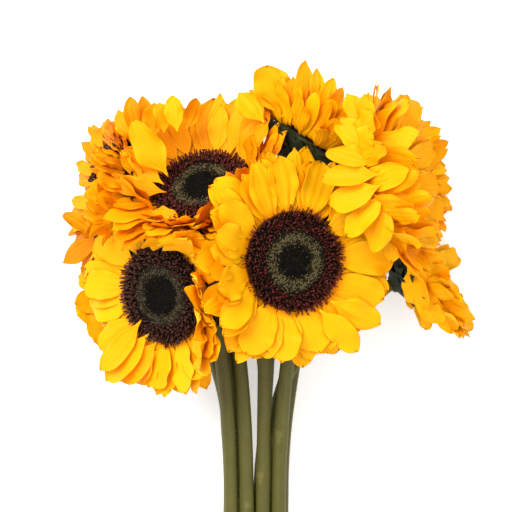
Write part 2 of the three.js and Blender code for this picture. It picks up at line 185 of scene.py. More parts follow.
# The disc
FLORETS = 2900
FLORETS_WHERE_HIDDEN = 900
HIDDEN_DISCS = ("right", "top", "low_right", "far_left", "upper_right", "low_left")
FLORET_SIDES = 5
FLORET_FIELD = 27.8
FLORET_SINK = 0.5
# This share of the florets are fine buds inside the open ones, which start at RIPE_FROM of the radius.
FINE_SHARE = 0.58
RIPE_FROM = 0.67
# Ring heights, with the top's, and ring widths, as shares of length and thickness: open, ring, middle florets
FLORET_HEIGHTS = np.array([[0, 0.62, 0.97, 0.78], [0, 0.7, 0.93, 1.0], [0, 0.62, 0.9, 1.0]])
FLORET_WIDTHS = np.array([[0.9, 0.7, 1.3], [1.0, 1.0, 0.78], [1.0, 1.1, 0.7]])
FLORET_LOBES = np.array([1.0, 0.6, 1.1, 0.7, 0.85])
# The ground that the florets stand on: distances from the axis and heights
DOME_RADII = (0, 8, 16, 21, 25, 27.5, 28.5)
DOME_HEIGHTS = (4.6, 4.9, 5.6, 5.8, 5.3, 4.0, 2.6)
DOME_FOOT = [(0, 0.4), (28.2, 0.4), (28.5, 2.6)]
DOME_STEPS = (27.5, 25, 21, 16, 8, 3, 0)
DOME_SIDES = 40
# Where the olive ring starts, as a share of the disc's radius
RING_FROM = 0.38
RINGS = {"left": 0.46, "upper_left": 0.44}
COOL_DISCS = ("left", "far_left")

# The calyx: its bowl, and rows of short bracts as (count, radius, height, bend in degrees, length)
BOWL_PROFILE = [(0, -19), (5.4, -19), (6.4, -18), (12, -15.6), (20, -10.8), (28, -6.4), (32.6, -3.4),
                (33.2, -1.2), (32.4, 0.2), (30, 0.9), (0, 0.9)]
BOWL_SIDES = 52
SHORT_BRACTS = [(17, 31.5, -3.2, 6, 10), (15, 25, -8.6, -20, 14), (12, 16, -13.4, 14, 13)]
SHORT_BRACT_WIDTH = 9.0
SHORT_BRACT_LIFT = 0.8
SHORT_BRACT_PITCH = 28
SHORT_BRACT_KEY = 50
BRACT_ROWS = 15
BRACT_COLUMNS = 9
BRACT_ROOT = -0.12
BRACT_HALF_THICKNESS = 0.32
# The long bracts reach this share of the solid's length, less where petals cover them
BRACT_SHARE = 0.9
BRACT_SHARES = {"right": 0.15, "upper_left": 0.7, "low_right": 0.4}

# The stem
STEM_RINGS = 169
STEM_SIDES = 24
STEM_TAPER = 0.1
STEM_NECK_RADIUS = 6.0
STEM_KNOTS = 5
PITH_SHARE = 0.62
RIM_SHARE = 0.93
STEM_HAIRS = 620
HAIR_RADIUS = 0.07
HAIR_FACES = np.array([[0, 2, 1], [0, 1, 3], [1, 2, 3], [2, 0, 3]])

# The room. A light is (name, place, size, power), in metres and watts.
LIGHTS = [("key", (-0.6, 0.7, 1.3), 1.0, 22), ("fill", (0.7, -0.4, 1.4), 1.4, 5)]
LIT_PLACE = np.array([0.0, 0.11, 0.05])
ROOM_LIGHT = 0.88
FLOOR_GLOW = 0.38
FLOOR_DROP = 0.0005
FLOOR_SIZE = 6
CAMERA_OVER = (0, 0, 1300)
CAMERA_LENS = 140.625
CAMERA_SENSOR = 36


def chance(seed, index):
    """The source's number from 0 to 1 for a seed and an index: the fraction of c sin(a seed + b index)."""
    value = np.sin(seed * 12.9898 + np.asarray(index) * 78.233) * 43758.5453
    return value - np.floor(value)


def spread(seed, index):
    """The same number from -1 to 1: twice the chance, less one."""
    return 2 * chance(seed, index) - 1


def unit(v):
    """Vectors divided by their lengths."""
    v = np.asarray(v, float)
    return v / np.linalg.norm(v, axis=-1, keepdims=True)


def smooth(low, high, x):
    """0 up to low, 1 from high, and 3t^2 - 2t^3 between them."""
    t = np.clip((np.asarray(x, float) - low) / (high - low), 0, 1)
    return t * t * (3 - 2 * t)


def head_axes(flower):
    """The head's x, y and z axes as rows: z looks the way the bloom does."""
    z = unit(flower["faces"])
    x = unit(np.cross((0, 1, 0), z))
    return np.array([x, np.cross(z, x), z])


def in_bunch(flower, points):
    """Points of the head's frame put in the bunch: its centre plus the points along its axes."""
    return np.asarray(flower["centre"], float) + points @ head_axes(flower)


def fold_of(flower, direction, which, whorl):
    """Sum of each fold's amount times (toward its side)^1.5, and times its share in the back whorl."""
    total = 0
    for fold in flower["folds"]:
        toward = np.maximum(0, direction @ unit(fold[0]))
        total = total + (fold[FOLD_BACK] if whorl == 1 else 1) * fold[which] * toward**1.5
    return total


def joined(parts):
    """Several sets of blades as one."""
    return {thing: np.concatenate([part[thing] for part in parts]) for thing in parts[0]}


def flat_way(angle):
    """Unit vectors at these angles in the head's plane."""
    return np.stack([np.cos(angle), np.sin(angle), 0 * angle], axis=1)


def drawn(table, flower, key):
    """What chance adds to each thing of the table, for blades with these keys."""
    return {thing: reach * spread(flower["seed"], key + more) for thing, (reach, more) in table.items()}


def rays_of(flower):
    """The source's rays of one head as arrays, one item for each ray."""
    rows = []
    for w, whorl in enumerate(RAY_WHORLS):
        i = np.arange(whorl["count"])
        key = BACK_WHORL_KEY * w + i
        by = drawn(RAY_CHANCE, flower, key)
        azimuth = TURN * (i + 0.5 * w + by["azimuth"]) / whorl["count"]
        direction = flat_way(azimuth) @ head_axes(flower)
        size = flower["ray"] * whorl["length"] * (1 + fold_of(flower, direction, FOLD_LONGER, w))
        fold = fold_of(flower, direction, FOLD_DEGREES, w)
        rows.append(dict(
            key=key,
            azimuth=azimuth,
            radius=np.full(len(i), DISC_RADIUS + COLLAR_WIDTH - RAY_ROOT_SINK),
            height=np.full(len(i), whorl["height"]),
            length=size * (1 + by["length"]),
            width=flower["wide"] * whorl["width"] * (1 + by["width"]),
            lean=flower["cup"] + whorl["lean"] + fold + by["lean"],
            curl=flower["curl"] + by["curl"],
            sway=by["sway"],
            roll=RAY_ROLL * (1 + by["roll"]),
            channel=RAY_CHANNEL + by["channel"],
        ))
    return joined(rows)


def bracts_of(flower):
    """The source's bracts of one calyx as arrays, one item for each bract."""
    i = np.arange(BRACTS)
    outer = i % 2
    by = drawn(BRACT_CHANCE, flower, i)
    return dict(
        key=i,
        azimuth=TURN * (i + by["azimuth"]) / BRACTS,
        radius=CALYX_RIM_RADIUS - BRACT_INSET[0] - BRACT_INSET[1] * outer,
        height=-BRACT_DROP[0] - BRACT_DROP[1] * outer,
        length=BRACT_LENGTH * (1 + by["length"]),
        width=np.full(BRACTS, BRACT_WIDTH),
        lean=BRACT_LEAN[0] + BRACT_LEAN[1] * outer + by["lean"],
        curl=by["curl"],
        sway=by["sway"],
        roll=by["roll"],
        channel=np.full(BRACTS, BRACT_CHANNEL),
    )


def bent(blades, turn, narrow):
    """The blades bent by turn degrees more and narrowed. What the root can't lean goes into the bend."""
    asked = blades["lean"] + turn
    lean = np.clip(asked, LEAST_LEAN, MOST_LEAN)
    return dict(blades, width=blades["width"] * narrow, pitch=np.radians(lean),
                bend=np.radians(blades["curl"] + asked - lean), turn=turn + 0 * lean)


def rise_and_close(s):
    """Half width up to the widest place, from the root's share on a parabola, and how near the tip s is."""
    swell = np.clip(s / BLADE_WIDEST_AT, 0, 1)
    rise = BLADE_ROOT_SHARE + (1 - BLADE_ROOT_SHARE) * swell * (2 - swell)
    return rise, np.clip((s - BLADE_WIDEST_AT) / (1 - BLADE_WIDEST_AT), 0, 1)


def blade_shape(s):
    """Half width of a blade of the source: the rise, then sqrt(1 - close^bluntness)."""
    rise, close = rise_and_close(s)
    return rise * np.sqrt(1 - close**BLADE_BLUNTNESS)


def fit(values, s):
    """One value for each blade, shaped to go with s, which has the blades along its first axis."""
    return values.reshape((-1,) + (1,) * (s.ndim - 1))


def blade_line(blades, s):
    """Distance from the axis, height and slope of the blades at shares s of their length.

    The slope is pitch + bend s^2, and the line is its sum in small steps. Below 0 the line goes straight in.
    """
    k = (np.arange(BLADE_STEPS) + 0.5) / BLADE_STEPS
    slope = blades["pitch"][:, None] + blades["bend"][:, None] * k**2
    step = blades["length"][:, None] / BLADE_STEPS
    start = np.zeros((len(slope), 1))
    out = np.concatenate([start, np.cumsum(step * np.cos(slope), axis=1)], axis=1)
    up = np.concatenate([start, np.cumsum(step * np.sin(slope), axis=1)], axis=1)
    inside = np.clip(s, 0, 1)
    place = inside * BLADE_STEPS
    low = np.minimum(place.astype(int), BLADE_STEPS - 1)
    share = place - low
    who = fit(np.arange(len(slope)), s)
    out = out[who, low] * (1 - share) + out[who, low + 1] * share
    up = up[who, low] * (1 - share) + up[who, low + 1] * share
    out = out + fit(blades["radius"], s) + fit(blades["length"], s) * np.minimum(s, 0)
    return out, up + fit(blades["height"], s), fit(blades["pitch"], s) + fit(blades["bend"], s) * inside**2


def blade_points(blades, s, side, lift):
    """Points at shares s, side across and lift off the blade, in the head's frame."""
    out, up, slope = blade_line(blades, s)
    azimuth = fit(blades["azimuth"], s)
    reach = out - np.sin(slope) * lift
    return np.stack([
        np.cos(azimuth) * reach - np.sin(azimuth) * side,
        np.sin(azimuth) * reach + np.cos(azimuth) * side,
        up + np.cos(slope) * lift,
    ], axis=-1)


def marks(blades, share):
    """The tip and the two edge points at share of each blade, which are corners of its solid."""
    s = np.tile([1.0, share, share], (len(blades["azimuth"]), 1))
    side = np.array([0.0, -1.0, 1.0])
    wide = blades["width"][:, None] / 2 * blade_shape(s) * np.abs(side)
    drift = blades["sway"][:, None] * blades["length"][:, None] * s * s
    lift = wide * (blades["channel"][:, None] * s + side * blades["roll"][:, None] * np.minimum(1, 3 * s))
    return blade_points(blades, s, drift + side * wide, lift)


def corners_of(node):
    """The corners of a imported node's mesh, each once, in the source's frame."""
    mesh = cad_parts[node].data
    points = np.empty(len(mesh.vertices) * 3)
    mesh.vertices.foreach_get("co", points)
    return np.unique(np.round(points.reshape(-1, 3) / MM, 3), axis=0) - OFFSET


def grown(flower, blades, node, share, tries):
    """The blades that the solid has, each by the first try whose tip and edges are corners of the solid."""
    corners = corners_of(node)
    left = np.ones(len(blades["azimuth"]), bool)
    found = []
    for turn, narrow in tries:
        attempt = bent(blades, turn, narrow)
        at = in_bunch(flower, marks(attempt, share))
        apart = np.linalg.norm(at[:, :, None, :] - corners[None, None], axis=-1).min(axis=2).max(axis=1)
        hit = left & (apart < MATCH_WITHIN)
        left &= ~hit
        found.append({name: value[hit] for name, value in attempt.items()})
    return joined(found)


def disc_box(flower):
    """Middle of the box round a disc in the source's frame, from its profile in the solid's steps."""
    turn = TURN * np.arange(DISC_SIDES) / DISC_SIDES
    ring = DISC_RADIUS * np.stack([np.sin(turn), -np.cos(turn), 0 * turn], axis=1)
    points = in_bunch(flower, np.concatenate([ring * share + (0, 0, z) for share, z in DISC_PROFILE]))
    return (points.min(axis=0) + points.max(axis=0)) / 2


def frame_offset():
    """From the source's frame to the row's, in millimetres."""
    gaps = []
    for flower in FLOWERS:
        low, high = (np.array(corner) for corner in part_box("disc_" + flower["name"]))
        gaps.append((low + high) / 2 / MM - disc_box(flower))
    return np.mean(gaps, axis=0)


OFFSET = frame_offset()


def smooth_line(points, count):
    """count points of a uniform Catmull-Rom curve through points, with mirrored ends."""
    points = np.asarray(points, float)
    knots = np.concatenate([[2 * points[0] - points[1]], points, [2 * points[-1] - points[-2]]])
    at = np.linspace(0, len(points) - 1, count)
    i = np.minimum(at.astype(int), len(points) - 2)
    t = (at - i)[:, None]
    p, q, r, s = (knots[i + k] for k in range(4))
    return (p * (-t + 2 * t**2 - t**3) + q * (2 - 5 * t**2 + 3 * t**3)
            + r * (t + 4 * t**2 - 3 * t**3) + s * (t**3 - t**2)) / 2


def stem_start(flower):
    """The stem's line from its cut end to the calyx, before the stems settle."""
    height, radius = flower["row"]
    face = unit(flower["faces"])
    end = np.array(flower["centre"]) - (CALYX_DEPTH + CALYX_GAP) * face
    neck = end - flower.get("neck", NECK_LENGTH) * face + NECK_DROP
    neck[2] = max(neck[2], radius + NECK_OVER_FLOOR)
    cut = np.array([flower["waist"] * STEM_CUT_SPREAD, STEM_CUT_Y + flower["cut"], height])
    waist = np.array([flower["waist"], STEM_WAIST_Y, height + STEM_WAIST_OVER_ROW])
    shoulder = np.array([flower["shoulder"][0], STEM_SHOULDER_Y, flower["shoulder"][1]])
    over = [flower["over"]] if "over" in flower else []
    last = [neck, end - STEM_INTO_CALYX * face, end]
    return smooth_line([cut, (cut + waist) / 2, waist, shoulder, *over, *last], STEM_POINTS)


def settled_stems():
    """The source's settling: stems push each other apart round by round, with a little stiffness."""
    lines = np.array([stem_start(flower) for flower in FLOWERS])
    radii = [flower["row"][1] for flower in FLOWERS]
    for _ in range(SETTLING_ROUNDS):
        push = np.zeros_like(lines)
        for a in range(len(lines)):
            for b in range(a + 1, len(lines)):
                way = lines[b][None, :, :] - lines[a][:, None, :]
                apart = radii[a] + radii[b] + STEM_GAP
                distance = np.linalg.norm(way, axis=2)
                share = np.maximum(0, apart - distance) / (distance * SETTLING_PUSH)
                way = way * share[:, :, None]
                push[a] -= way.sum(axis=1)
                push[b] += way.sum(axis=0)
        middle = (lines[:, :-2] + lines[:, 2:]) / 2 - lines[:, 1:-1]
        moved = slice(1, STEM_POINTS - SETTLED_BEFORE_END)
        lines[:, moved] += push[:, moved] + SETTLING_STIFFNESS * middle[:, : moved.stop - 1]
        lines[:, 0, 0] += push[:, 0, 0]
    return lines


def linear(hex_colour):
    """An sRGB hex colour made linear: c / 12.92 near black, else ((c + 0.055) / 1.055)^2.4, and alpha 1."""
    parts = [int(hex_colour[i : i + 2], 16) / 255 for i in (1, 3, 5)]
    return [p / 12.92 if p <= 0.04045 else ((p + 0.055) / 1.055) ** 2.4 for p in parts] + [1]


def add_node(tree, kind, links=(), **values):
    """One shader node: values set its inputs or its own settings, links are (input, socket) pairs."""
    node = tree.nodes.new(kind)
    for name, value in values.items():
        title = name.replace("_", " ")
        if title in node.inputs:
            node.inputs[title].default_value = value
        else:
            setattr(node, name, value)
    for name, socket in links:
        tree.links.new(socket, node.inputs[name])
    return node


# Sockets of the colour mix, which share their names with the mixes of other kinds
MIX_SHARE, MIX_FIRST, MIX_SECOND = 0, 6, 7
MIX_RESULT = 2
RELIEF_DEPTH = 0.0006


def material(name, colour, other, roughness, pattern, bump, sheen, specular):
    """A material whose colour drifts between two near tones and whose surface has a fine relief.

    pattern is (coordinates, scale, stretch): a noise of that scale on stretched coordinates.
    """
    made = bpy.data.materials.new(name)
    made.use_nodes = True
    tree = made.node_tree
    shader = tree.nodes["Principled BSDF"]
    for title, value in (("Roughness", roughness), ("Sheen Weight", sheen), ("Sheen Tint", linear(colour)),
                         ("Specular IOR Level", specular)):
        shader.inputs[title].default_value = value
    where, scale, stretch = pattern
    source = add_node(tree, "ShaderNodeTexCoord")
    mapping = add_node(tree, "ShaderNodeMapping", [("Vector", source.outputs[where])], Scale=stretch)
    noise = add_node(tree, "ShaderNodeTexNoise", [("Vector", mapping.outputs["Vector"])],
                     Scale=scale, Detail=3.0, Roughness=0.55)
    mix = add_node(tree, "ShaderNodeMix", data_type="RGBA")
    mix.inputs[MIX_FIRST].default_value = linear(colour)
    mix.inputs[MIX_SECOND].default_value = linear(other)
    tree.links.new(noise.outputs["Fac"], mix.inputs[MIX_SHARE])
    tree.links.new(mix.outputs[MIX_RESULT], shader.inputs["Base Color"])
    relief = add_node(tree, "ShaderNodeBump", [("Height", noise.outputs["Fac"])], Strength=bump,
                      Distance=RELIEF_DEPTH)
    tree.links.new(relief.outputs["Normal"], shader.inputs["Normal"])
    return made


# Petals, from pale to dark: living petal, thin and satin, which glows warm and has hardly a highlight.
PETAL_TONES = [
    ("ray_lemon", "#fcb706", "#fbb205"),
    ("ray_yellow", "#fbb104", "#faac04"),
    ("ray_warm", "#f9aa03", "#f7a503"),
    ("ray_gold", "#f8a303", "#f69d03"),
    ("ray_deep_gold", "#ef9602", "#e98f02"),
    ("ray_amber", "#de8702", "#d47c01"),
    ("ray_orange_base", "#bd6901", "#a95801"),
]
# Rows at a petal's root are darker, its deeper base plus painted shade by the disc. The rest has one tone,
# deeper for shaded heads as painted shade.
TONE_ROWS = [(-0.05, 6), (-0.02, 5), (0.02, 4), (0.06, 3), (0.1, 2), (0.16, 1), (1.1, 0)]
BROAD_TONE_SPREAD = 1.9
SLIM_TONE_SPREAD = 2.8
HEAD_PAINTED_SHADE = {
    "front": 0.2, "left": 0.6, "upper_left": 1.9, "right": 0.7, "top": 0.6,
    "low_right": 0.4, "far_left": 2.6, "upper_right": 0.7, "low_left": 0.9,
}

# Florets and the disc under them: dry and dusty, so dull dark browns with olive and maroon tips.
DISC_TONES = [
    ("disc_ground", "#120b08", "#190f0b"),
    ("floret_tube", "#25110d", "#301a12"),
    ("floret_maroon", "#60251f", "#712f28"),
    ("floret_brown", "#3c1f13", "#4a2a18"),
    ("floret_olive", "#2e281a", "#383020"),
    ("floret_tan", "#867750", "#93865c"),
    ("floret_green_black", "#0d0d0b", "#131310"),
    ("floret_plum", "#553a33", "#62453c"),
    ("floret_dust", "#6b604c", "#776b54"),
    ("floret_wine", "#7c3434", "#8b413f"),
]
GROUND, TUBE, MAROON, BROWN, OLIVE, TAN, GREEN_BLACK, PLUM, DUST, WINE = range(len(DISC_TONES))

# Calyx: dark green hairy leaf, with a soft light along its edges, and paler on the young bracts.
CALYX_TONES = [
    ("calyx_green", "#222a16", "#2c351b"),
    ("bract_dark", "#1a2011", "#242b17"),
    ("bract_leaf_green", "#425723", "#4e632a"),
]
GREEN, DARK, LEAF_GREEN = range(len(CALYX_TONES))

# Stems: ridged green skin with a low waxy gloss, paler scars of stripped leaves, white pith at the cut.
STEM_TONES = [
    ("stem_green", "#625e28", "#4d491a"),
    ("stem_light", "#67632b", "#544f1f"),
    ("stem_scar", "#6f6a32", "#5c5725"),
    ("stem_pith", "#dcd8ba", "#cdc7a3"),
    ("stem_hair", "#b5b388", "#a5a276"),
]
SKIN, LIGHT, SCAR, PITH, HAIR = range(len(STEM_TONES))

# Tones, roughness, (coordinates, scale, stretch), bump, sheen, specular. The scale is per millimetre on UV,
# which goes across and then along the petal, and per metre on Object coordinates. So veins are 0.45 mm wide and
# 8 mm long, grains 1.1 mm on the disc and 2 mm on the calyx, and streaks 4 by 26 mm along the stems. Real veins
# and grains are finer, and these are as coarse as the picture needs to show them.
LOOKS = {
    "rays": (PETAL_TONES, 0.5, ("UV", 1, (2.2, 0.12, 1)), 0.4, 0, 0.08),
    "seed_disc": (DISC_TONES, 0.85, ("Object", 900, (1, 1, 1)), 0.4, 0, 0.1),
    "calyx": (CALYX_TONES, 0.7, ("Object", 500, (1, 1, 1)), 0.5, 0.2, 0.25),
    "stem": (STEM_TONES, 0.55, ("Object", 260, (1, 0.15, 1)), 0.35, 0.06, 0.3),
}
MATERIALS = {slot: [material(*tone, *look) for tone in tones] for slot, (tones, *look) in LOOKS.items()}

# What would reach under the surface that the bunch lies on, such as a hair, lies this high on it
ABOVE_FLOOR = 0.03


def make_piece(flower, kind, slot, solid, points, faces, tones, uv=None):
    """A joined mesh in place of one of the flower's solids, from triangles in the source's frame.

    Faces that look inward are turned. tones is each face's place in the slot's materials.
    """
    name = kind + "_" + flower["name"]
    node = solid + "_" + flower["name"]
    first = points[faces[:, 0]]
    volume = np.einsum("ij,ij->i", first, np.cross(points[faces[:, 1]], points[faces[:, 2]])).sum()
    if volume < 0:
        faces = faces[:, ::-1]
    mesh = bpy.data.meshes.new(name)
    mesh.vertices.add(len(points))
    placed = points + OFFSET
    placed[:, 2] = np.maximum(placed[:, 2], ABOVE_FLOOR)
    mesh.vertices.foreach_set("co", (placed * MM).astype(np.float32).ravel())
    mesh.loops.add(len(faces) * 3)
    mesh.loops.foreach_set("vertex_index", faces.astype(np.int32).ravel())
    mesh.polygons.add(len(faces))
    mesh.polygons.foreach_set("loop_start", np.arange(0, len(faces) * 3, 3, dtype=np.int32))
    mesh.polygons.foreach_set("use_smooth", np.ones(len(faces), bool))
    for made in MATERIALS[slot]:
        mesh.materials.append(made)
    mesh.polygons.foreach_set("material_index", np.asarray(tones, np.int32))
    if uv is not None:
        layer = mesh.uv_layers.new(name="across_along")
        layer.data.foreach_set("uv", uv[faces.ravel()].astype(np.float32).ravel())
    mesh.update(calc_edges=True)
    piece = bpy.data.objects.new(name, mesh)
    bpy.context.scene.collection.objects.link(piece)
    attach(piece, "root")
    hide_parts(node)
    return piece


def sheet_faces(rows, columns):
    """Triangles of a closed thin sheet: an upper grid, then a lower one that shares the upper one's rim.

    Returns the triangles and the row of each.
    """
    upper = np.arange(rows * columns).reshape(rows, columns)
    lower = upper.copy()
    inner = np.arange((rows - 2) * (columns - 2)).reshape(rows - 2, columns - 2)
    lower[1:-1, 1:-1] = rows * columns + inner
    faces = []
    for grid, over in ((upper, True), (lower, False)):
        a, b, c, d = grid[:-1, :-1], grid[1:, :-1], grid[1:, 1:], grid[:-1, 1:]
        quads = np.stack([a, b, c, d], axis=-1).reshape(-1, 4)
        pair = np.concatenate([quads[:, [0, 1, 2]], quads[:, [0, 2, 3]]])
        faces.append(pair if over else pair[:, ::-1])
    row = np.tile(np.repeat(np.arange(rows - 1), columns - 1), 2)
    return np.concatenate(faces), np.concatenate([row, row])


def sheet_points(upper, lower):
    """The vertices that sheet_faces numbers, from two arrays of (blades, rows, columns, 3)."""
    count = len(upper)
    inner = lower[:, 1:-1, 1:-1].reshape(count, -1, upper.shape[-1])
    return np.concatenate([upper.reshape(count, -1, upper.shape[-1]), inner], axis=1)


def tiled(faces, count, size):
    """The same triangles for count copies of size vertices each."""
    return (faces[None] + (np.arange(count) * size)[:, None, None]).reshape(-1, 3)


def spun_faces(rings, sides):
    """Triangles of a closed body of rings between a first and a last pole, which come after the rings."""
    ring = np.arange(rings * sides).reshape(rings, sides)
    a, b = ring[:-1], ring[1:]
    c, d = np.roll(b, -1, axis=1), np.roll(a, -1, axis=1)
    quads = np.stack([a, d, c, b], axis=-1).reshape(-1, 4)
    low, high = rings * sides, rings * sides + 1
    first = np.stack([np.full(sides, low), np.roll(ring[0], -1), ring[0]], axis=-1)
    last = np.stack([np.full(sides, high), ring[-1], np.roll(ring[-1], -1)], axis=-1)
    row = np.repeat(np.arange(rings - 1), sides)
    faces = np.concatenate([quads[:, [0, 1, 2]], quads[:, [0, 2, 3]], first, last])
    return faces, np.concatenate([row, row, np.zeros(sides, int), np.full(sides, rings - 1)])


# Loose petals have keys from here on. Their root is narrow and shows, so it has the tone of the rest.
LOOSE_KEY = 5000


def thin_sheet(blades, at, side, lift, half):
    """Points of closed sheets along the blades' lines, half thick to either side."""
    return sheet_points(*(blade_points(blades, at, side, lift + way * half) for way in (1, -1)))


def petal_sheets(flower, blades):
    """Points of fine petals along the blades' lines, their places for the veins, and the rows' shares.

    Across, t from -1 to 1, a petal has a channel w c |t|^1.6, a roll w r t, an edge that curls with |t|^3, a
    ruffle sin(2 pi f s) t^2, a twist and pleats. Its tip recedes with t^2 and between its small points.
    """
    v = np.linspace(0, 1, PETAL_ROWS)
    s = (PETAL_ROOT + (1 - PETAL_ROOT) * (1 - (1 - v) ** ROWS_TO_TIP))[None, :, None]
    even = np.linspace(-1, 1, PETAL_COLUMNS)
    t = ((1 - COLUMNS_TO_EDGE) * even + COLUMNS_TO_EDGE * np.sin(even * math.pi / 2))[None, None, :]
    size = np.abs(t)
    inside = np.clip(s, 0, 1)
    key, length, width, sway, roll, channel, strain = (
        fit(blades[thing], s) for thing in ("key", "length", "width", "sway", "roll", "channel", "strain"))

    def own(more):
        return spread(flower["seed"], key + more)

    notch = 0.5 - 0.5 * np.cos(TURN * (TIP_POINTS + 0.5 * own(401)) * (t + 0.4 * own(409)))
    recede = (0.01 + 0.02 * own(419)) * t**2 + TIP_POINT_DEPTH * notch
    rise, close = rise_and_close(s)
    blunt = (BROAD_BLUNTNESS if flower.get("name") in BROAD_HEADS else SLIM_BLUNTNESS) + 0.5 * own(421)
    shape = rise * np.maximum(TIP_LEFT, 1 - close**blunt) ** (0.82 + 0.2 * own(423))
    wide = width / 2 * shape * (1 + WIDTH_WAVE * own(431) * np.sin(5 * s + 3 * own(435)))
    narrow_root = LOOSE_ROOT_WIDTH + (1 - LOOSE_ROOT_WIDTH) * smooth(PETAL_ROOT, 0.3, s)
    wide = wide * np.where(key < LOOSE_KEY, 1, narrow_root)
    ruffle = np.sin(TURN * ((RUFFLES + 0.7 * own(433)) * s + own(439) + 0.25 * np.sign(t)))
    pleats = sum(np.exp(-(((t - place + 0.1 * own(more)) / PLEAT_WIDTH) ** 2)) for place, more in PLEATS)
    lift = (
        wide * channel * inside * size**1.6
        + wide * roll * np.minimum(1, 3 * inside) * t * (1 + 1.6 * strain)
        + wide * (0.02 + EDGE_CURL * own(443)) * size**3 * inside * (1 + 1.4 * strain)
        + wide * (RUFFLE_DEPTH + 0.16 * strain) * ruffle * size**2 * smooth(0.05, 0.5, s)
        + wide * (TIP_TWIST + 0.4 * strain) * own(467) * t * inside**3
        - PLEAT_DEPTH * (1 + 0.5 * own(463)) * pleats * smooth(-0.05, 0.15, s) * (1 - 0.7 * inside**2)
        + np.sin(TURN * (1.1 * s + own(449))) * inside * (1 - inside) * 2
    )
    half = PETAL_HALF_THICKNESS * (1 - t**2) * smooth(PETAL_ROOT, 0.02, s) * (1 - inside**9)
    at = np.broadcast_to(s - recede * inside**7, lift.shape)
    side = sway * length * inside**2 + t * wide + 0 * lift
    veins = np.stack([side + 40 * own(457), at * length + 40 * own(461)], axis=-1)
    return thin_sheet(blades, at, side, lift, half), sheet_points(veins, veins), s.ravel()


# Sides on which the fine petals are shorter than the solid's rays, as a share
SHORTER = {
    "right": [((0.5, -0.7, -0.5), -0.3)],
    "upper_right": [((0.7, -0.7, 0), -0.35), ((-0.3, 1, 0.3), -0.25)],
    "low_right": [((0.2, 1, 0.2), -0.45), ((0.3, -1, -0.5), -0.25)],
    "low_left": [((-1, -0.3, 0), -0.2)],
    "far_left": [((-0.1, 1, 0.2), -0.2)],
}


def trimmed(flower, blades):
    """The blades shortened toward some sides, by amount * (toward the side)^1.5."""
    way = flat_way(blades["azimuth"])
    share = 1
    for side, amount in SHORTER.get(flower["name"], []):
        share = share + amount * np.maximum(0, way @ head_axes(flower) @ unit(side)) ** 1.5
    return dict(blades, length=blades["length"] * share)


def with_more(flower, blades):
    """The blades and, beside each, the petals that fill the ring between them."""
    broad = flower["name"] in BROAD_HEADS
    wild = 1 if broad else 2.2
    step = TURN / RAY_WHORLS[0]["count"]
    every = [blades]
    for n, (azimuth, height, pitch, length, width) in enumerate(MORE_ON_BROAD if broad else MORE_ON_SLIM):
        key = blades["key"] + MORE_KEY * (n + 1)
        way = np.where(blades["key"] >= BACK_WHORL_KEY, -1, 1)
        own = [spread(flower["seed"], key + k) for k in range(4)]
        every.append(dict(
            blades,
            key=key,
            azimuth=blades["azimuth"] + azimuth * step * (1 + 0.35 * wild * own[0]),
            height=blades["height"] + height * way,
            pitch=blades["pitch"] + np.radians(pitch * way + 4 * wild * own[3]),
            length=blades["length"] * length * (1 + 0.1 * own[1]),
            width=blades["width"] * width,
            bend=blades["bend"] + 0.2 * wild * own[2],
            sway=blades["sway"] + 0.1 * own[3],
        ))
    return joined(every)


